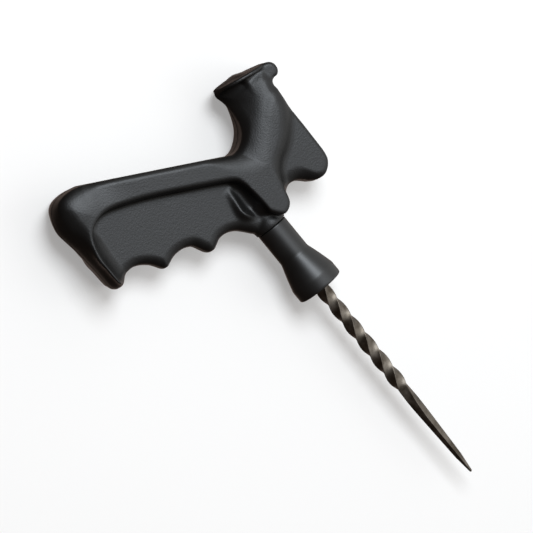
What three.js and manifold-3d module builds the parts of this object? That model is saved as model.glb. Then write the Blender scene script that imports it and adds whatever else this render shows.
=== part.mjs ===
// Tyre plug reamer: pistol-grip moulded handle, conical nose sleeve and twisted square steel bar.
// Units are millimetres. The shapes are drawn with x = 0 on the sleeve's front face and the bar's
// axis along x; the last lines move the whole tool so that it lies on its side on z = 0.
import * as THREE from 'three';
import { mergeVertices } from 'three/addons/utils/BufferGeometryUtils.js';
import Module from 'manifold-3d';

const wasm = await Module();
wasm.setup();

// Thicknesses of the handle, measured from its middle plane to one side.
const FRAME_HALF = 14;
const WEB_HALF = 6.5;
const WING_HALF = 9;
const LOBE_HALF = 10;

// Positions along the bar's axis.
const SEAM_X = -34.8;
const SEAM_GAP = 0.3;
const BOSS_BACK_X = -48;
const SOCKET_BACK_X = -39.2;
const SPIGOT_BACK_X = -38.8;
const TANG_BACK_X = -64;
const TWIST_START_X = -2;
const TWIST_END_X = 57;
const TWIST_FADE_X = 79;
const POINT_X = 106;
const TAPER_START_X = 54;
const POINT_START_X = 60;
const CHISEL_X = 96.5;

// Centre of the palm pad's outer face, and how far the pad leans from square to the bar.
const PAD_FACE_X = -94.8;
const PAD_FACE_Y = 31;
const PAD_LEAN = THREE.MathUtils.degToRad(10);

// Radii round the bar's axis.
const BOSS_RADIUS = 7.8;
const SOCKET_RADIUS = 5.7;
const SPIGOT_RADIUS = 5.4;
const SLEEVE_NECK_RADIUS = 7.3;
const SLEEVE_NOSE_RADIUS = 11;
const SLEEVE_BORE_RADIUS = 3.85;

// The square bar.
const BAR_HALF = 2.5;
const BAR_CORNER = 0.25;
const BAR_CLEARANCE = 0.3;
const POINT_START_HALF = 2.15;
const CHISEL_HALF = 1.15;
const TIP_HALF = 0.4;
const QUARTER_TURN_LENGTH = 9.75;
const POINT_ANGLE = THREE.MathUtils.degToRad(103);

const X_AXIS = new THREE.Vector3(1, 0, 0);

function toSolid(geometry) {
  const bare = geometry.clone();
  bare.deleteAttribute('normal');
  bare.deleteAttribute('uv');
  const welded = mergeVertices(bare, 1e-4);
  const mesh = new wasm.Mesh({
    numProp: 3,
    vertProperties: new Float32Array(welded.attributes.position.array),
    triVerts: new Uint32Array(welded.index.array),
  });
  return new wasm.Manifold(mesh);
}

function toGeometry(solid) {
  const mesh = solid.getMesh();
  const geometry = new THREE.BufferGeometry();
  geometry.setAttribute('position', new THREE.BufferAttribute(new Float32Array(mesh.vertProperties), 3));
  geometry.setIndex(new THREE.BufferAttribute(new Uint32Array(mesh.triVerts), 1));
  geometry.computeVertexNormals();
  return geometry;
}

function points(pairs) {
  return pairs.map(([x, y]) => new THREE.Vector2(x, y));
}

// A plate centred on the middle plane whose outline is its widest section.
function plate(shape, half, roundWidth, roundDepth, curveSegments) {
  const geometry = new THREE.ExtrudeGeometry(shape, {
    depth: 2 * (half - roundDepth),
    bevelEnabled: true,
    bevelSize: roundWidth,
    bevelThickness: roundDepth,
    bevelOffset: -roundWidth,
    bevelSegments: 3,
    curveSegments,
  });
  geometry.translate(0, 0, -(half - roundDepth));
  return geometry;
}

// A cylinder along x between two positions.
function axisCylinder(radius, fromX, toX, segments) {
  const geometry = new THREE.CylinderGeometry(radius, radius, toX - fromX, segments);
  geometry.rotateZ(-Math.PI / 2);
  geometry.translate((fromX + toX) / 2, 0, 0);
  return geometry;
}

// Thick frame: butt flange, straight spine, thumb saddle, and the nose lobe over the bar's root.
function frameShape() {
  const shape = new THREE.Shape();
  shape.moveTo(-69.5, -72.4);
  shape.lineTo(-83, -74.3);
  shape.splineThru(points([[-91, -75], [-99, -73.4], [-104, -69], [-105.6, -62.5], [-104.6, -56]]));
  shape.lineTo(-72.6, 2.5);
  shape.splineThru(points([[-71.2, 7.5], [-72.6, 11.8], [-76.2, 15.6], [-80, 17.3], [-84, 18.3]]));
  shape.lineTo(-94, 18.9);
  shape.lineTo(-91.2, 38.5);
  shape.lineTo(-79, 37);
  shape.splineThru(points([[-70, 33.5], [-62.5, 27], [-55.5, 17], [-50, 12.8], [-43, 11.6]]));
  shape.bezierCurveTo(-34.5, 10, -34.5, 3, -41, 1.4);
  shape.splineThru(points([[-46.5, 1], [-52.5, 0.8], [-58.5, -0.4], [-63, -4.2], [-67.3, -10.8]]));
  shape.lineTo(-86.7, -49.3);
  shape.splineThru(points([[-89.2, -56.5], [-87.5, -62.6], [-83.6, -66.2], [-78, -67.8]]));
  shape.lineTo(-70, -68.2);
  shape.closePath();
  return shape;
}

// Full grip outline with the three finger grooves along its front edge.
function gripShape() {
  const shape = new THREE.Shape();
  shape.moveTo(-37, 4);
  shape.lineTo(-37, -7);
  shape.lineTo(-40.5, -8.7);
  shape.splineThru(points([[-43.5, -10.8], [-47, -16], [-46.8, -22.5]]));
  shape.bezierCurveTo(-45, -26.5, -44, -29, -48.4, -31.6);
  shape.splineThru(points([[-52.6, -36], [-53.6, -41], [-52.6, -45]]));
  shape.bezierCurveTo(-50.5, -48.5, -50.5, -50, -55, -52.2);
  shape.splineThru(points([[-60, -57.2], [-61.2, -62], [-60.2, -66]]));
  shape.bezierCurveTo(-58.5, -69, -59, -72.3, -64, -72.1);
  shape.lineTo(-76, -72.4);
  shape.lineTo(-98, -69);
  shape.lineTo(-100, -56);
  shape.lineTo(-68, 2);
  shape.lineTo(-52, 6);
  shape.closePath();
  return shape;
}

// Thin wing behind the index finger, with its straight rear edge and rounded corner.
function wingShape() {
  const shape = new THREE.Shape();
  shape.moveTo(-80, 38.6);
  shape.lineTo(-47, 38.6);
  shape.absarc(-43.4, 32.6, 6, Math.PI / 2, -0.35, true);
  shape.splineThru(points([[-39.4, 26.4], [-42.8, 21.8], [-44.2, 17.2], [-43.4, 11]]));
  shape.lineTo(-46, 6);
  shape.lineTo(-60, 8);
  shape.lineTo(-76, 26);
  shape.closePath();
  return shape;
}

// Flat tab that carries the palm pad's lip out past the rear edge.
function lobeShape() {
  const shape = new THREE.Shape();
  shape.moveTo(-92.6, 30);
  shape.lineTo(-92, 41.8);
  shape.absarc(-88.4, 41.8, 3.6, Math.PI, -0.2, true);
  shape.lineTo(-82.6, 38.2);
  shape.lineTo(-78, 36);
  shape.lineTo(-80, 28);
  shape.closePath();
  return shape;
}

// Oval palm pad across the top of the horn, standing square to the middle plane.
function padGeometry() {
  const halfLength = 12.2;
  const halfWidth = FRAME_HALF;
  const squareness = 0.72;
  const edgeRound = 0.9;
  const oval = new THREE.Shape();
  oval.moveTo(halfLength, 0);
  for (let step = 1; step < 40; step += 1) {
    const angle = (step / 40) * 2 * Math.PI;
    const along = Math.sign(Math.cos(angle)) * Math.abs(Math.cos(angle)) ** squareness;
    const across = Math.sign(Math.sin(angle)) * Math.abs(Math.sin(angle)) ** squareness;
    oval.lineTo(halfLength * along, halfWidth * across);
  }
  oval.closePath();
  const geometry = new THREE.ExtrudeGeometry(oval, {
    depth: 1.6,
    bevelEnabled: true,
    bevelSize: edgeRound,
    bevelThickness: edgeRound,
    bevelOffset: -edgeRound,
    bevelSegments: 3,
  });
  geometry.translate(0, 0, edgeRound);
  const along = new THREE.Vector3(Math.sin(PAD_LEAN), Math.cos(PAD_LEAN), 0);
  const across = new THREE.Vector3(0, 0, 1);
  const inward = new THREE.Vector3().crossVectors(along, across);
  const place = new THREE.Matrix4().makeBasis(along, across, inward);
  geometry.applyMatrix4(place);
  geometry.translate(PAD_FACE_X, PAD_FACE_Y, 0);
  return geometry;
}

// Half side of the square bar at a position along the axis, tapering over the point.
function barHalf(x) {
  if (x <= TAPER_START_X) return BAR_HALF;
  if (x <= POINT_START_X) {
    return THREE.MathUtils.mapLinear(x, TAPER_START_X, POINT_START_X, BAR_HALF, POINT_START_HALF);
  }
  if (x <= CHISEL_X) {
    return THREE.MathUtils.mapLinear(x, POINT_START_X, CHISEL_X, POINT_START_HALF, CHISEL_HALF);
  }
  return THREE.MathUtils.mapLinear(x, CHISEL_X, POINT_X, CHISEL_HALF, TIP_HALF);
}

// Angle of one bar corner about the axis: constant, a right-hand twist that eases out, then constant.
function barAngle(x) {
  const turned = THREE.MathUtils.clamp(x, TWIST_START_X, TWIST_END_X) - TWIST_END_X;
  const fade = 1 - THREE.MathUtils.clamp((x - TWIST_END_X) / (TWIST_FADE_X - TWIST_END_X), 0, 1);
  return POINT_ANGLE + (turned / QUARTER_TURN_LENGTH) * (Math.PI / 2) - (Math.PI / 4) * fade * fade;
}

// Pinched tang: the last stretch of the shank is squeezed thin one way and wide the other.
function tangPinch(x) {
  return THREE.MathUtils.smoothstep(-x, 53, 58);
}

// A rounded square swept along x, twisted and tapered by the formulas above.
function squareBar(fromX, toX, extra, steps) {
  const half = BAR_HALF + extra;
  const corner = BAR_CORNER;
  const square = new THREE.Shape();
  square.moveTo(half, -half + corner);
  square.lineTo(half, half - corner);
  square.quadraticCurveTo(half, half, half - corner, half);
  square.lineTo(-half + corner, half);
  square.quadraticCurveTo(-half, half, -half, half - corner);
  square.lineTo(-half, -half + corner);
  square.quadraticCurveTo(-half, -half, -half + corner, -half);
  square.lineTo(half - corner, -half);
  square.quadraticCurveTo(half, -half, half, -half + corner);
  const geometry = new THREE.ExtrudeGeometry(square, {
    depth: toX - fromX,
    steps,
    bevelEnabled: false,
    curveSegments: 2,
  });
  const position = geometry.attributes.position;
  const offset = new THREE.Vector3();
  for (let index = 0; index < position.count; index += 1) {
    const x = fromX + position.getZ(index);
    const scale = barHalf(x) / BAR_HALF;
    const pinch = tangPinch(x);
    offset.set(0, position.getX(index) * scale, position.getY(index) * scale);
    offset.y *= 1 + 0.45 * pinch;
    offset.z *= 1 - 0.3 * pinch;
    offset.applyAxisAngle(X_AXIS, barAngle(x) - Math.PI / 4);
    position.setXYZ(index, x, offset.y, offset.z);
  }
  geometry.computeVertexNormals();
  return geometry;
}

function handleGeometry() {
  let body = toSolid(plate(frameShape(), FRAME_HALF, 1.8, 2.6, 4));
  body = body.add(toSolid(plate(gripShape(), WEB_HALF, 1.5, 3, 4)));
  body = body.add(toSolid(plate(wingShape(), WING_HALF, 2, 2.4, 4)));
  body = body.add(toSolid(plate(lobeShape(), LOBE_HALF, 1.8, 1.8, 6)));
  body = body.add(toSolid(padGeometry()));
  body = body.add(toSolid(axisCylinder(BOSS_RADIUS, BOSS_BACK_X, SEAM_X - SEAM_GAP / 2, 40)));
  body = body.subtract(toSolid(axisCylinder(SOCKET_RADIUS, SOCKET_BACK_X, SEAM_X + 5, 40)));
  const shankHole = squareBar(TANG_BACK_X - 0.35, SOCKET_BACK_X + 2, BAR_CLEARANCE, 16);
  return toGeometry(body.subtract(toSolid(shankHole)));
}

// Turned nose sleeve with a spigot that plugs into the handle's socket.
function sleeveGeometry() {
  const shoulderX = SEAM_X + SEAM_GAP / 2;
  const profile = new THREE.Path();
  profile.moveTo(SLEEVE_BORE_RADIUS, SPIGOT_BACK_X);
  profile.lineTo(SPIGOT_RADIUS - 0.4, SPIGOT_BACK_X);
  profile.lineTo(SPIGOT_RADIUS, SPIGOT_BACK_X + 0.6);
  profile.lineTo(SPIGOT_RADIUS, shoulderX);
  profile.lineTo(SLEEVE_NECK_RADIUS - 0.3, shoulderX);
  profile.lineTo(SLEEVE_NECK_RADIUS, shoulderX + 0.3);
  profile.lineTo(SLEEVE_NECK_RADIUS, -19.5);
  profile.quadraticCurveTo(SLEEVE_NECK_RADIUS, -18, SLEEVE_NECK_RADIUS + 0.4, -16.6);
  profile.lineTo(SLEEVE_NOSE_RADIUS - 0.4, -6.8);
  profile.quadraticCurveTo(SLEEVE_NOSE_RADIUS, -5.4, SLEEVE_NOSE_RADIUS, -4.4);
  profile.lineTo(SLEEVE_NOSE_RADIUS, -1.1);
  profile.quadraticCurveTo(SLEEVE_NOSE_RADIUS, 0, SLEEVE_NOSE_RADIUS - 1.1, 0);
  profile.lineTo(SLEEVE_BORE_RADIUS + 0.4, 0);
  profile.lineTo(SLEEVE_BORE_RADIUS, -0.4);
  profile.lineTo(SLEEVE_BORE_RADIUS, SPIGOT_BACK_X);
  const geometry = new THREE.LatheGeometry(profile.getPoints(4), 48);
  geometry.rotateZ(-Math.PI / 2);
  return geometry;
}

function addMesh(group, name, geometry, colour, roughness, metalness) {
  const material = new THREE.MeshStandardMaterial({ color: colour, roughness, metalness });
  const mesh = new THREE.Mesh(geometry, material);
  mesh.name = name;
  group.add(mesh);
}

const tool = new THREE.Group();
tool.name = 'tyre_plug_reamer';
addMesh(tool, 'handle', handleGeometry(), 0x26272a, 0.6, 0);
addMesh(tool, 'nose_sleeve', sleeveGeometry(), 0x1f2022, 0.45, 0);
addMesh(tool, 'reamer_bar', squareBar(TANG_BACK_X, POINT_X, 0, 150), 0x57504a, 0.35, 1);

// Lay the tool on its side, with the middle of its footprint at the origin.
const bounds = new THREE.Box3().setFromObject(tool);
const middle = bounds.getCenter(new THREE.Vector3());
tool.children.forEach((mesh) => mesh.geometry.translate(-middle.x, -middle.y, -bounds.min.z));

export default tool;
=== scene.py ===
import math

import bpy
import numpy as np
from mathutils import Matrix, Vector


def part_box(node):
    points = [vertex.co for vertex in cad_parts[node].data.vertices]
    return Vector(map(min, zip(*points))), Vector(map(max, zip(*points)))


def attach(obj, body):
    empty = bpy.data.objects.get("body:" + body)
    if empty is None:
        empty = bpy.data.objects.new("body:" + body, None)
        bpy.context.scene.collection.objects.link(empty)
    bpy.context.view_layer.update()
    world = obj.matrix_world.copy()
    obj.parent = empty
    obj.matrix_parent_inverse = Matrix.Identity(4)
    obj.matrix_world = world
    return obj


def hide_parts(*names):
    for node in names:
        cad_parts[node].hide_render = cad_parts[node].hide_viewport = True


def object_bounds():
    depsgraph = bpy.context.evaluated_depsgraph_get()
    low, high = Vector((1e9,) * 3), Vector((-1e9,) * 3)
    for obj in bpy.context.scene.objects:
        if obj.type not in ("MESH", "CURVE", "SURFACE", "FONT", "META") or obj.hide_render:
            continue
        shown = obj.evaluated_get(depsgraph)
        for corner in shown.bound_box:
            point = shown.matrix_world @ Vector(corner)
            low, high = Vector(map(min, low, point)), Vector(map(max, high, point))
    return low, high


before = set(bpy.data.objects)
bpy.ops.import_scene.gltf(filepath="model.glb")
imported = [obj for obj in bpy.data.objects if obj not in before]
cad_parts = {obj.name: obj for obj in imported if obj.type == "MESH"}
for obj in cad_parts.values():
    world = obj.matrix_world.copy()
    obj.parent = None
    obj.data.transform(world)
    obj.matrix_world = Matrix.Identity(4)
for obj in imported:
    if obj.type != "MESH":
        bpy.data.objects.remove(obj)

# The tool is drawn in millimetres from the middle of the sleeve's end face: x runs to the point,
# y to the wing and z to the viewer. place() moves it into the frame, in metres.
MM = 0.001
cad_low, cad_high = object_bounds()
sleeve_low, sleeve_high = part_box("nose_sleeve")
bar_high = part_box("reamer_bar")[1]
ORIGIN = Vector((sleeve_high.x, (sleeve_low.y + sleeve_high.y) / 2, (sleeve_low.z + sleeve_high.z) / 2))

# Thicknesses of the handle from its middle plane to one side.
FRAME_HALF = (cad_high.z - cad_low.z) / 2 / MM
WEB_HALF = 6.5
POCKET_DEPTH = 1.4
WING_HALF = 9.4
TAB_HALF = 10.5

# Fillets where the wing and the pad's tab meet the horn.
WING_FILLET = 3.6
TAB_FILLET = 1.5

# The neck of the handle and the sleeve, along the bar and round it.
SEAM_X = -34.8
SEAM_GAP = 0.3
BOSS_RADIUS = 7.8
BOSS_BACK_X = -47
SOCKET_RADIUS = 5.7
SOCKET_BACK_X = -39.2
SPIGOT_RADIUS = 5.4
SPIGOT_BACK_X = -38.8
NECK_RADIUS = 7.3
NOSE_RADIUS = 11.0
BORE_RADIUS = 3.85

# The palm pad: middle of its rim, its lean, half sizes, how far its face is domed, and its thickness.
PAD_CENTRE = (-94.3, 31.0)
PAD_LEAN = math.radians(10)
PAD_HALF_LENGTH = 12.0
PAD_HALF_WIDTH = FRAME_HALF
PAD_POWER = 2.6
PAD_DOME = 1.1
PAD_THICKNESS = 1.5

# The square bar.
BAR_HALF = 2.5
BAR_CORNER = 0.28
TANG_BACK_X = -64.0
TWIST_START_X = -2
TWIST_END_X = 57
TWIST_FADE_LENGTH = 22
TAPER_START_X = 54
POINT_START_X = 60
CHISEL_X = 96.5
POINT_X = (bar_high.x - ORIGIN.x) / MM
TIP_ROUND = 0.6
POINT_START_HALF = 2.15
CHISEL_HALF = 1.15
TIP_HALF = 0.4
QUARTER_TURN = 9.75
POINT_ANGLE = math.radians(103)

GRID = 0.56


# ---------------------------------------------------------------- shaping in numbers

def ramp(low, high, value):
    """0 at low, 1 at high, with a smooth start and end."""
    t = np.clip((value - low) / (high - low), 0, 1)
    return t * t * (3 - 2 * t)


def mix(a, b, t):
    return a + (b - a) * t


def join(a, b, radius):
    """Two solids in one, with a fillet of that radius in the corner between them."""
    bump = np.hypot(np.maximum(radius - a, 0), np.maximum(radius - b, 0))
    return np.maximum(radius, np.minimum(a, b)) - bump


def meet(a, b, radius):
    """What two solids share, with the edge between them rounded to that radius."""
    bump = np.hypot(np.maximum(a + radius, 0), np.maximum(b + radius, 0))
    return np.minimum(-radius, np.maximum(a, b)) + bump


def curve(*points, steps=6):
    """Points along a smooth curve through the given ones."""
    p = np.array([points[0], *points, points[-1]], float)
    p[0] = 2 * p[1] - p[2]
    p[-1] = 2 * p[-2] - p[-3]
    t = np.linspace(0, 1, steps, endpoint=False)[:, None]
    runs = []
    for a, b, c, d in zip(p[:-3], p[1:-2], p[2:-1], p[3:]):
        runs.append(b + 0.5 * t * ((c - a) + t * ((2 * a - 5 * b + 4 * c - d) + t * (3 * b - a - 3 * c + d))))
    return np.vstack([*runs, p[-2:-1]])


def outline(*runs):
    """A closed outline from curves and corner points laid end to end."""
    return np.vstack([np.atleast_2d(np.array(run, float)) for run in runs])


def distance(shape, x, y, closed=True):
    """Distance from a shape's edge in the middle plane, negative inside a closed one."""
    nearest = np.full(x.shape, 1e9)
    inside = np.zeros(x.shape, bool)
    ends = np.roll(shape, -1, axis=0)
    count = len(shape) if closed else len(shape) - 1
    for (ax, ay), (bx, by) in zip(shape[:count], ends[:count]):
        ex, ey = bx - ax, by - ay
        length = ex * ex + ey * ey
        if length < 1e-12:
            continue
        wx, wy = x - ax, y - ay
        t = np.clip((wx * ex + wy * ey) / length, 0, 1)
        nearest = np.minimum(nearest, (wx - t * ex) ** 2 + (wy - t * ey) ** 2)
        if closed and ay != by:
            crosses = ((ay > y) != (by > y)) & (x < ax + (y - ay) * ex / (ey if ey else 1))
            inside ^= crosses
    nearest = np.sqrt(nearest)
    return np.where(inside, -nearest, nearest) if closed else nearest


def plate(edge, z, half, radius):
    """A flat slab about the middle plane, with its edges rounded."""
    return meet(edge, np.abs(z) - half, radius)


# ---------------------------------------------------------------- the handle's outlines

SPINE = ((-104.4, -56.6), (-70.9, 5.0))
SADDLE = curve(
    SPINE[1], (-71, 8), (-72.4, 11.2), (-74.7, 14.1), (-77.8, 16.3), (-82, 17.8), (-87, 18.7), (-92.5, 18.9))
BODY = outline(
    curve((-62.3, -67), (-59.8, -69.6), (-60.8, -71.6), (-65, -72.1), (-70, -72.3), (-76.3, -73.1),
          (-82.4, -74.5), (-88.4, -75.5), (-92.9, -76), (-96.6, -75.4), (-100.4, -73.8), (-103.6, -71.2),
          (-105.4, -67.2), (-105.5, -61.5), SPINE[0]),
    SADDLE,
    (-91, 38.8), (-85.4, 39.6),
    curve((-82.6, 38.6), (-79, 37.8), (-74.4, 36.4), (-70, 34), (-66, 30.9), (-62.6, 27.6), (-59.8, 23.8),
          (-57.2, 19.2), (-53.6, 15.6), (-49, 13.4), (-44, 12.2), (-40.6, 11.3), (-38.4, 10), (-36.9, 7.6),
          (-36.7, 5.3), (-38.4, 3.2), (-41.4, 1.1)),
    (-46, -3), (-56, -20), (-66, -60))
RECESS = outline(
    curve((-41.4, 1.1), (-46.5, 1.1), (-52.2, 0.6), (-58.4, -0.4), (-62.7, -3.2), (-67.3, -10.8)),
    curve((-72.1, -19.6), (-81, -36.2), (-86.3, -48.3), (-88.5, -55.2), (-88.5, -60), (-86.9, -64.4),
          (-84, -67.6), (-79.6, -69.7), (-74.6, -70.8), (-69.5, -71.1), (-63, -71.2)),
    (-50, -71), (-20, -71), (-20, -1), (-36, 0.6))
GRIP = outline(
    (-37, 4), (-36.6, -7),
    curve((-38.2, -8.9), (-41.6, -11.7), (-44.2, -14.4), (-45.8, -18), (-46, -21.8), (-44.8, -24.6),
          (-43.8, -27.1), (-44.8, -29.8), (-47.9, -31.6), (-51, -33.3), (-52.8, -36.4), (-53.4, -40),
          (-53.2, -43.2), (-52.2, -46), (-51.5, -48), (-52.2, -49.9), (-54.5, -51.4), (-57.2, -53.4),
          (-59.9, -56.7), (-61.3, -60), (-61.4, -63.2), (-60.9, -65.5), (-60, -67.4), (-59.5, -69.4),
          (-60.2, -71.3), (-62.3, -72)),
    (-66, -72), (-76, -72), (-98, -68), (-98, -56), (-68, 2), (-52, 6))
WING = outline(
    (-80, 38.3), (-74.7, 38.6), (-60.2, 38.6),
    curve((-46.8, 38.3), (-42.7, 37.6), (-39.6, 35.4), (-37.7, 32.1), (-37.8, 28.6), (-39.4, 25.8),
          (-41.6, 23.6), (-43.5, 21.1), (-44.3, 17.8), (-43.6, 14.9), (-43.2, 12.5)),
    (-46, 8), (-60, 8), (-76, 26))
TAB = outline(
    (-93, 30),
    curve((-93, 40), (-92, 43.4), (-89.8, 45.3), (-86.9, 45.2), (-85, 43.6), (-84.8, 41.2), (-83.4, 39.2),
          (-79.5, 38.3)),
    (-77, 36), (-80, 28))
CREST = curve((-97, 36.5), (-88, 35.4), (-80.6, 33), (-75.2, 29.2), (-71, 25.2), (-67, 21.4), (-62.6, 17.6),
              (-57, 13.7))
LEFT_OF_CREST = outline(CREST, (-57, -60), (-150, -60), (-150, 33.5))
RIDGE = curve((-62, -1.8), (-61, -4.6), (-59, -6.3), (-54.8, -7), (-49, -7.8), (-45.2, -6.6), (-41, -4.6))
POCKET = outline(RIDGE, (-30, -2), (-30, 12), (-61.5, 12))


def plan(x, y):
    """Everything about the handle that depends only on the place in the middle plane: distances to its
    outlines, half thicknesses of its plates, and radii of its edges and fillets."""
    body = distance(BODY, x, y)
    # The horn falls away on both sides of its crest, and thins toward the pad.
    crest = distance(LEFT_OF_CREST, x, y)
    forward = (y - 9) * 0.84 - (x + 64) * 0.54
    right_fall = 0.022 * np.maximum(crest - 3, 0) ** 2 * ramp(0, 12, forward)
    left_fall = 0.03 * np.clip(crest, -18, 0) ** 2 * ramp(-8, 8, forward)
    down = -75 - x
    lean = 0.075 * (down + np.hypot(down, 5)) * ramp(0, 14, forward)
    # The side of the butt is domed.
    crown = 2.0 * np.clip(1 + body / 15, 0, 1) ** 2 * ramp(-38, -62, y) * ramp(-78, -92, x)
    butt = ramp(-52, -64, y)
    tip = ramp(-92, -80, x)
    upper = ramp(8, 20, y)
    nose = ramp(-58, -50, x) * ramp(18, 12, y)
    edge = mix(mix(2.8, mix(3.2, 1.2, tip), butt), mix(4.0, 3.0, ramp(-78, -72, x)), upper)
    p = {"body": body, "recess": distance(RECESS, x, y)}
    p["grip"] = distance(GRIP, x, y)
    p["wing"] = distance(WING, x, y)
    p["tab"] = distance(TAB, x, y)
    p["half"] = FRAME_HALF - 0.3 * upper - right_fall - left_fall - lean - crown
    p["edge"] = mix(edge, 1.4, nose)
    p["wing_edge"] = mix(6.0, 1.8, ramp(24, 34, y))
    p["wing_half"] = WING_HALF + 2.0 * ramp(5, 0, body)
    p["under"] = ramp(37, 28, y)
    # How far the butt's rear edge draws in from the middle plane to the side.
    p["heel"] = 6.2 * ramp(-108, -93, x) * ramp(-72, -89, x) * ramp(-50, -62, y)
    p["draft"] = mix(0.1, 0.35, butt * ramp(-86, -76, x))
    p["lip"] = mix(mix(1.8, 1.1, butt), 0.7, ramp(-64, -54, x) * ramp(-6, 0, y))
    # Beside the boss the web sinks into a pocket, with a bead along the pocket's edge.
    inside = -distance(POCKET, x, y)
    butt_root = mix(1.1, 5.0, ramp(-58, -66, y) * ramp(-88, -80, x))
    p["root"] = butt_root + 3.4 * ramp(-1, 3, inside) * ramp(-38, -44, x)
    bead = np.exp(-(distance(RIDGE, x, y, closed=False) / 1.9) ** 2)
    bead = bead * (0.1 + 0.17 * np.clip(x + 61.5, 0, 14)) * ramp(-42, -47, x) * ramp(-62, -59, x)
    drop = POCKET_DEPTH * ramp(-0.5, 5.5, inside) * ramp(-36, -42, x)
    drop = drop + 0.8 * ramp(-48, -40, x)
    p["web"] = WEB_HALF + bead - drop
    return p


def pad(x, y, z):
    """The domed oval palm pad across the end of the horn."""
    dx, dy = x - PAD_CENTRE[0], y - PAD_CENTRE[1]
    along = dy * math.cos(PAD_LEAN) + dx * math.sin(PAD_LEAN)
    deep = dx * math.cos(PAD_LEAN) - dy * math.sin(PAD_LEAN)
    a = np.abs(along) / PAD_HALF_LENGTH
    b = np.abs(z) / PAD_HALF_WIDTH
    spread = (a ** PAD_POWER + b ** PAD_POWER) ** (1 / PAD_POWER)
    rim = (spread - 1) * PAD_HALF_LENGTH
    dome = PAD_DOME * (1 - np.minimum(spread, 1) ** 2)
    half = (PAD_THICKNESS + dome) / 2
    return meet(rim, np.abs(deep - PAD_THICKNESS + half) - half, 0.6)


def handle_field(p, x, y, z):
    """Distance from the handle's surface, negative inside the plastic."""
    tall = np.abs(z)
    cavity = -(p["recess"] + p["draft"] * (FRAME_HALF - tall))
    body = p["body"] + p["heel"] * (tall / FRAME_HALF) ** 2
    solid = meet(plate(body, z, p["half"], p["edge"]), cavity, p["lip"])
    solid = join(solid, plate(p["wing"], z, p["wing_half"], p["wing_edge"]), WING_FILLET)
    solid = join(solid, plate(p["tab"], z, TAB_HALF, 1.6), TAB_FILLET)
    flare = 0.3 + 7.0 * (1 - np.minimum(tall / (FRAME_HALF - 0.3), 1) ** 2) * p["under"]
    solid = join(solid, pad(x, y, z), flare)
    around = np.hypot(y, z)
    boss = meet(around - BOSS_RADIUS + 1.5 * ramp(-36.4, -42, x), x - SEAM_X + SEAM_GAP / 2, 0.5)
    boss = meet(boss, BOSS_BACK_X - x, 1.0)
    grip = join(plate(p["grip"], z, p["web"], 4.4), boss, 1.0)
    solid = join(solid, grip, p["root"])
    socket = np.maximum(around - SOCKET_RADIUS, SOCKET_BACK_X - x)
    tang = np.maximum(np.maximum(np.abs(y) - 4.2, tall - 2.9), np.abs(x + 51.7) - 12.7)
    return np.maximum(solid, -np.minimum(socket, tang))


# ---------------------------------------------------------------- meshes

def surface(values, low, spacing):
    """Quads along the zero level of a grid of distances, one vertex in each cell that it crosses."""
    inside = values < 0
    cells = np.array(values.shape) - 1
    total = np.zeros((int(cells.prod()), 3))
    hits = np.zeros(int(cells.prod()))
    crossings = []
    for axis in range(3):
        near = [slice(None)] * 3
        far = [slice(None)] * 3
        near[axis], far[axis] = slice(None, -1), slice(1, None)
        a, b = values[tuple(near)], values[tuple(far)]
        node = np.argwhere((a < 0) != (b < 0))
        va, vb = a[tuple(node.T)], b[tuple(node.T)]
        where = node.astype(float)
        where[:, axis] += va / (va - vb)
        side, up = (axis + 1) % 3, (axis + 2) % 3
        ring = []
        for back_side, back_up in ((1, 1), (0, 1), (0, 0), (1, 0)):
            cell = node.copy()
            cell[:, side] -= back_side
            cell[:, up] -= back_up
            flat = np.ravel_multi_index(cell.T, tuple(cells))
            for k in range(3):
                total[:, k] += np.bincount(flat, where[:, k], len(total))
            hits += np.bincount(flat, minlength=len(hits))
            ring.append(flat)
        quads = np.stack(ring, axis=1)
        flip = ~inside[tuple(node.T)]
        quads[flip] = quads[flip][:, ::-1]
        crossings.append(quads)
    used = np.flatnonzero(hits)
    number = np.full(len(hits), -1)
    number[used] = np.arange(len(used))
    vertices = total[used] / hits[used, None] * spacing + np.array(low)
    return vertices, number[np.vstack(crossings)]


def vertex_normals(vertices, quads):
    p = vertices[quads]
    across = np.cross(p[:, 2] - p[:, 0], p[:, 3] - p[:, 1])
    normals = np.zeros_like(vertices)
    for corner in range(4):
        for k in range(3):
            normals[:, k] += np.bincount(quads[:, corner], across[:, k], len(vertices))
    return normals / np.maximum(np.linalg.norm(normals, axis=1, keepdims=True), 1e-12)


def place(vertices):
    return np.asarray(vertices) * MM + np.array(ORIGIN)


def add_piece(name, vertices, faces, node, slot, material):
    mesh = bpy.data.meshes.new(name)
    mesh.from_pydata(place(vertices).tolist(), [], [list(map(int, f)) for f in faces])
    mesh.validate()
    mesh.polygons.foreach_set("use_smooth", [True] * len(mesh.polygons))
    mesh.materials.append(material)
    piece = bpy.data.objects.new(name, mesh)
    bpy.context.collection.objects.link(piece)
    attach(piece, "root")
    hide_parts(node)
    return piece


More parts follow.
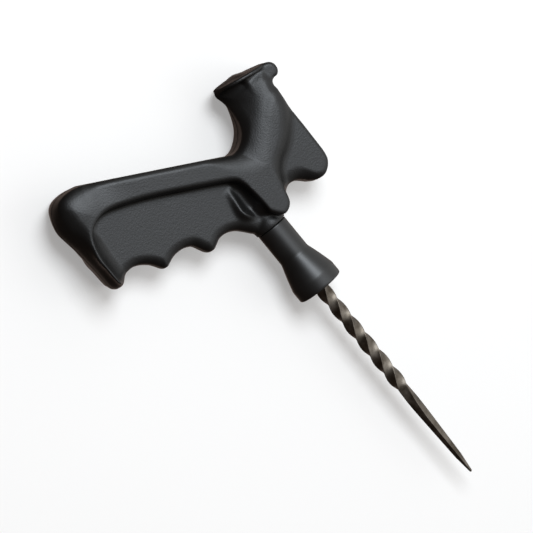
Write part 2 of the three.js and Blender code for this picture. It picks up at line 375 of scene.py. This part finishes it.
def handle_mesh():
    low = np.array((-109.5, -79.0, -FRAME_HALF - 1.5))
    high = np.array((-31.0, 49.5, FRAME_HALF + 1.5))
    layers = 2 * math.ceil(high[2] / GRID)
    low[2] = -(layers - 1) / 2 * GRID
    counts = [math.ceil((high[0] - low[0]) / GRID), math.ceil((high[1] - low[1]) / GRID), layers]
    xs, ys, zs = (low[k] + GRID * np.arange(counts[k]) for k in range(3))
    x, y = np.meshgrid(xs, ys, indexing="ij")
    flat = {key: value[:, :, None] for key, value in plan(x, y).items()}
    values = handle_field(flat, x[:, :, None], y[:, :, None], zs[None, None, :])
    vertices, quads = surface(values, low, GRID)
    for _ in range(3):
        x, y, z = vertices.T
        normals = vertex_normals(vertices, quads)
        off = np.clip(handle_field(plan(x, y), x, y, z), -0.3, 0.3)
        vertices = vertices - normals * off[:, None]
    normals = vertex_normals(vertices, quads)
    x, y, z = vertices.T
    seam = (np.abs(z) < GRID * 0.45) & (np.abs(normals[:, 2]) < 0.5) & (np.hypot(y, z) > SOCKET_RADIUS + 0.5)
    vertices[seam] += normals[seam] * 0.16
    return vertices, quads


def lathe(profile, around):
    """A closed ring profile of (radius, x) turned about the bar's axis."""
    profile = np.array(profile, float)
    turn = np.linspace(0, 2 * math.pi, around, endpoint=False)
    rows = [np.column_stack([np.full(around, x), r * np.cos(turn), r * np.sin(turn)]) for r, x in profile]
    count = len(profile)
    faces = []
    for i in range(count):
        a, b = i * around, (i + 1) % count * around
        for j in range(around):
            k = (j + 1) % around
            faces.append((a + j, b + j, b + k, a + k))
    return np.vstack(rows), faces


def sleeve_mesh():
    front = SEAM_X + SEAM_GAP / 2
    outside = [
        (BORE_RADIUS, SPIGOT_BACK_X), (BORE_RADIUS + 0.1, SPIGOT_BACK_X),
        (SPIGOT_RADIUS - 0.5, SPIGOT_BACK_X),
        (SPIGOT_RADIUS - 0.4, SPIGOT_BACK_X + 0.02), (SPIGOT_RADIUS, SPIGOT_BACK_X + 0.6),
        (SPIGOT_RADIUS, front - 0.1), (SPIGOT_RADIUS, front), (SPIGOT_RADIUS + 0.1, front),
    ]
    outside += [(NECK_RADIUS - 0.4 + 0.4 * math.sin(t), front + 0.4 - 0.4 * math.cos(t))
                for t in np.linspace(0, math.pi / 2, 5)]
    outside += [(NECK_RADIUS, x) for x in np.linspace(front + 0.8, -19.4, 8)]
    flare = curve((-19.0, NECK_RADIUS), (-18.2, NECK_RADIUS + 0.1), (-17.2, NECK_RADIUS + 0.42),
                  (-12, NECK_RADIUS + 2.05), (-7.2, NOSE_RADIUS - 0.35), (-6.2, NOSE_RADIUS - 0.08),
                  (-5.4, NOSE_RADIUS))
    outside += [(r, x) for x, r in flare]
    outside += [(NOSE_RADIUS, x) for x in (-4.8, -3.2, -1.4)]
    outside += [(NOSE_RADIUS - 1.0 + math.cos(t), -1.0 + math.sin(t))
                for t in np.linspace(0.1, math.pi / 2, 7)]
    outside += [(BORE_RADIUS + 3, 0), (BORE_RADIUS + 0.6, 0), (BORE_RADIUS + 0.4, -0.03)]
    outside += [(BORE_RADIUS + 0.02, -0.42), (BORE_RADIUS, -0.6), (BORE_RADIUS, -10), (BORE_RADIUS, -26)]
    vertices, faces = lathe(outside, 144)
    return vertices, [face[::-1] for face in faces]


def bar_half(x):
    """Half a side of the bar: full size, then a long taper, then the steeper chisel end."""
    if x <= TAPER_START_X:
        return BAR_HALF
    if x <= POINT_START_X:
        return mix(BAR_HALF, POINT_START_HALF, (x - TAPER_START_X) / (POINT_START_X - TAPER_START_X))
    if x <= CHISEL_X:
        return mix(POINT_START_HALF, CHISEL_HALF, (x - POINT_START_X) / (CHISEL_X - POINT_START_X))
    return mix(CHISEL_HALF, TIP_HALF, (x - CHISEL_X) / (POINT_X - CHISEL_X))


def bar_angle(x):
    """Angle of one corner of the bar: a right-hand twist that eases out over the start of the point."""
    quarter = math.pi / 2 / QUARTER_TURN
    if x < TWIST_START_X:
        x = TWIST_START_X
    if x <= TWIST_END_X:
        return POINT_ANGLE - math.pi / 4 + (x - TWIST_END_X) * quarter
    t = min((x - TWIST_END_X) / TWIST_FADE_LENGTH, 1)
    return POINT_ANGLE - math.pi / 4 * (1 - t) ** 2


def bar_mesh():
    """The square bar, swept along its twist. The hidden end of its shank is pinched."""
    corner = BAR_CORNER
    side = BAR_HALF - corner
    ring = []
    for quarter in range(4):
        middle = math.pi / 4 + quarter * math.pi / 2
        cx = side * math.copysign(1, math.cos(middle))
        cy = side * math.copysign(1, math.sin(middle))
        for t in np.linspace(-math.pi / 4, math.pi / 4, 4):
            ring.append((cx + corner * math.cos(middle + t), cy + corner * math.sin(middle + t)))
        here, after = ring[-1], middle + math.pi / 2
        nx = side * math.copysign(1, math.cos(after)) + corner * math.cos(after - math.pi / 4)
        ny = side * math.copysign(1, math.sin(after)) + corner * math.sin(after - math.pi / 4)
        for t in (0.06, 0.28, 0.5, 0.72, 0.94):
            ring.append((mix(here[0], nx, t), mix(here[1], ny, t)))
    ring = np.array(ring)
    stations = np.concatenate([
        np.linspace(TANG_BACK_X, TWIST_START_X, 90, endpoint=False),
        np.linspace(TWIST_START_X, POINT_START_X, 190, endpoint=False),
        np.linspace(POINT_START_X, POINT_X - TIP_ROUND, 90),
        POINT_X - TIP_ROUND + TIP_ROUND * np.sin(np.linspace(0.3, math.pi / 2, 5))])
    rows = []
    for x in stations:
        scale = bar_half(x) / BAR_HALF
        over = max(0.0, (x - (POINT_X - TIP_ROUND)) / TIP_ROUND)
        scale *= math.sqrt(max(1 - over * over, 0.04))
        pinch = float(ramp(53, 58, -x))
        angle = bar_angle(x) - math.pi / 4
        u = ring[:, 0] * scale * (1 + 0.45 * pinch)
        v = ring[:, 1] * scale * (1 - 0.3 * pinch)
        y = u * math.cos(angle) - v * math.sin(angle)
        z = u * math.sin(angle) + v * math.cos(angle)
        rows.append(np.column_stack([np.full(len(ring), x), y, z]))
    n = len(ring)
    faces = []
    for i in range(len(rows) - 1):
        for j in range(n):
            k = (j + 1) % n
            faces.append((i * n + j, i * n + k, (i + 1) * n + k, (i + 1) * n + j))
    faces = [face[::-1] for face in faces]
    vertices = np.vstack([*rows, [[TANG_BACK_X, 0, 0]], [[POINT_X, 0, 0]]])
    back, front = n * len(rows), n * len(rows) + 1
    last = n * (len(rows) - 1)
    for j in range(n):
        k = (j + 1) % n
        faces.append((back, k, j))
        faces.append((front, last + j, last + k))
    return vertices, faces


# ---------------------------------------------------------------- materials

def start_material(name):
    material = bpy.data.materials.new(name)
    material.use_nodes = True
    return material, material.node_tree.nodes, material.node_tree.links


def noise(nodes, links, coords, scale, detail=2.0):
    node = nodes.new("ShaderNodeTexNoise")
    node.inputs["Scale"].default_value = scale
    node.inputs["Detail"].default_value = detail
    links.new(coords, node.inputs["Vector"])
    return node.outputs["Fac"]


def scaled(nodes, links, value, low, high, new_low, new_high):
    node = nodes.new("ShaderNodeMapRange")
    node.inputs["From Min"].default_value = low
    node.inputs["From Max"].default_value = high
    node.inputs["To Min"].default_value = new_low
    node.inputs["To Max"].default_value = new_high
    links.new(value, node.inputs["Value"])
    return node.outputs["Result"]


def blend_colours(nodes, links, factor, a, b):
    node = nodes.new("ShaderNodeMix")
    node.data_type = "RGBA"
    node.inputs["A"].default_value = (*a, 1)
    node.inputs["B"].default_value = (*b, 1)
    links.new(factor, node.inputs["Factor"])
    return node.outputs["Result"]


def bump(nodes, links, height, strength, distance_m):
    node = nodes.new("ShaderNodeBump")
    node.inputs["Strength"].default_value = strength
    node.inputs["Distance"].default_value = distance_m
    links.new(height, node.inputs["Height"])
    return node.outputs["Normal"]


def plastic(name, ior, rough_low, rough_high, grain_scale, grain_strength):
    material, nodes, links = start_material(name)
    shader = nodes["Principled BSDF"]
    coords = nodes.new("ShaderNodeTexCoord").outputs["Object"]
    broad = noise(nodes, links, coords, 90, 3)
    fine = noise(nodes, links, coords, grain_scale, 2)
    links.new(blend_colours(nodes, links, scaled(nodes, links, broad, 0.35, 0.65, 0, 1),
                        (0.003, 0.0028, 0.0026), (0.005, 0.0048, 0.0046)), shader.inputs["Base Color"])
    links.new(scaled(nodes, links, broad, 0.35, 0.65, rough_low, rough_high), shader.inputs["Roughness"])
    links.new(bump(nodes, links, fine, grain_strength, 0.0001), shader.inputs["Normal"])
    shader.inputs["IOR"].default_value = ior
    return material


def steel(name):
    material, nodes, links = start_material(name)
    shader = nodes["Principled BSDF"]
    coords = nodes.new("ShaderNodeTexCoord").outputs["Object"]
    stretch = nodes.new("ShaderNodeMapping")
    stretch.inputs["Scale"].default_value = (0.25, 1, 1)
    links.new(coords, stretch.inputs["Vector"])
    broad = noise(nodes, links, coords, 220, 3)
    grind = noise(nodes, links, stretch.outputs["Vector"], 1800, 3)
    links.new(blend_colours(nodes, links, scaled(nodes, links, broad, 0.35, 0.65, 0, 1),
                            (0.07, 0.058, 0.045), (0.17, 0.148, 0.125)), shader.inputs["Base Color"])
    links.new(scaled(nodes, links, broad, 0.3, 0.7, 0.4, 0.54), shader.inputs["Roughness"])
    links.new(bump(nodes, links, grind, 0.25, 0.00006), shader.inputs["Normal"])
    shader.inputs["Metallic"].default_value = 1.0
    return material


# ---------------------------------------------------------------- the three pieces

add_piece("handle_moulding", *handle_mesh(), "handle", "handle_plastic",
          plastic("handle_plastic", 1.4, 0.43, 0.48, 1300, 0.7))
add_piece("nose_sleeve_moulding", *sleeve_mesh(), "nose_sleeve", "sleeve_plastic",
          plastic("sleeve_plastic", 1.5, 0.41, 0.45, 2200, 0.12))
add_piece("reamer_bar_steel", *bar_mesh(), "reamer_bar", "bar_steel", steel("bar_steel"))


# ---------------------------------------------------------------- floor, camera and lights

RIGHT = Vector((0.629, 0.7366, 0.25)).normalized()
BACK = Vector((-0.122, -0.2235, 0.967)).normalized()
UP = BACK.cross(RIGHT).normalized()
RIGHT = UP.cross(BACK).normalized()
LOOK_AT = ORIGIN + Vector((-22.04, -11.76, -5.51)) * MM
CAMERA_DISTANCE = 3.0
VIEW_WIDTH = 0.2345
LIGHT_DISTANCE = 1.3

floor_mesh = bpy.data.meshes.new("floor")
half_floor = 2.5
floor_corners = [(-half_floor, -half_floor, 0), (half_floor, -half_floor, 0),
                 (half_floor, half_floor, 0), (-half_floor, half_floor, 0)]
floor_mesh.from_pydata(floor_corners, [], [(0, 1, 2, 3)])
floor = bpy.data.objects.new("floor", floor_mesh)
floor.location.z = -0.0004
bpy.context.collection.objects.link(floor)
floor_material, floor_nodes, _ = start_material("floor_white")
floor_nodes["Principled BSDF"].inputs["Base Color"].default_value = (0.518, 0.5, 0.482, 1)
floor_nodes["Principled BSDF"].inputs["Roughness"].default_value = 0.9
floor_nodes["Principled BSDF"].inputs["Specular IOR Level"].default_value = 0.1
floor_nodes["Principled BSDF"].inputs["Emission Color"].default_value = (1, 1, 1, 1)
floor_nodes["Principled BSDF"].inputs["Emission Strength"].default_value = 0.32
floor_mesh.materials.append(floor_material)
floor.visible_glossy = False
floor.visible_diffuse = False

camera_data = bpy.data.cameras.new("camera")
camera_data.sensor_width = 36
camera_data.lens = camera_data.sensor_width * CAMERA_DISTANCE / VIEW_WIDTH
camera_data.clip_end = 20
camera = bpy.data.objects.new("camera", camera_data)
bpy.context.collection.objects.link(camera)
turn = Matrix((RIGHT, UP, BACK)).transposed().to_4x4()
camera.matrix_world = Matrix.Translation(LOOK_AT + BACK * CAMERA_DISTANCE) @ turn
bpy.context.scene.camera = camera


def area_light(name, right, up, back, spread, light_level, colour=(1, 1, 1)):
    """A round soft light. The direction is as the camera sees it, spread is its half angle in degrees
    from the tool and light_level is how much it lights a surface that faces it."""
    direction = (RIGHT * right + UP * up + BACK * back).normalized()
    data = bpy.data.lights.new(name, "AREA")
    data.shape = "DISK"
    data.size = 2 * LIGHT_DISTANCE * math.tan(math.radians(spread))
    data.energy = light_level * math.pi * LIGHT_DISTANCE ** 2
    data.color = colour
    light = bpy.data.objects.new(name, data)
    light.location = LOOK_AT + direction * LIGHT_DISTANCE
    light.rotation_euler = direction.to_track_quat("Z", "Y").to_euler()
    bpy.context.collection.objects.link(light)


def studio_world():
    """Dark and warm all round, with a pale wall to the right of the tool as the camera sees it and a
    brown glow from behind it, which shows most on faces that the camera sees nearly edge on."""
    world = bpy.data.worlds.new("studio")
    world.use_nodes = True
    nodes, links = world.node_tree.nodes, world.node_tree.links
    facing = nodes.new("ShaderNodeVectorMath")
    facing.operation = "DOT_PRODUCT"
    facing.inputs[1].default_value = (RIGHT * 0.9 + UP * 0.4 + BACK * 0.1).normalized()
    direction = nodes.new("ShaderNodeTexCoord").outputs["Generated"]
    links.new(direction, facing.inputs[0])
    wall = scaled(nodes, links, facing.outputs["Value"], 0.1, 0.85, 0, 1)
    colour = blend_colours(nodes, links, wall, (0.075, 0.055, 0.045), (1.05, 1.05, 1.04))
    behind = nodes.new("ShaderNodeVectorMath")
    behind.operation = "DOT_PRODUCT"
    behind.inputs[1].default_value = -BACK
    links.new(direction, behind.inputs[0])
    glow = nodes.new("ShaderNodeMix")
    glow.data_type = "RGBA"
    glow.inputs["B"].default_value = (0.85, 0.65, 0.56, 1)
    links.new(scaled(nodes, links, behind.outputs["Value"], 0.8, 1.0, 0, 1), glow.inputs["Factor"])
    links.new(colour, glow.inputs["A"])
    links.new(glow.outputs["Result"], nodes["Background"].inputs["Color"])
    bpy.context.scene.world = world


COOL_WHITE = (0.93, 1.0, 1.07)
area_light("key", 0.22, 0.45, 0.86, 14, 3.2, COOL_WHITE)
area_light("side", 0.86, 0.08, 0.5, 18, 0.5, COOL_WHITE)
studio_world()
bpy.context.scene.view_settings.view_transform = "Standard"
bpy.context.scene.view_settings.look = "None"
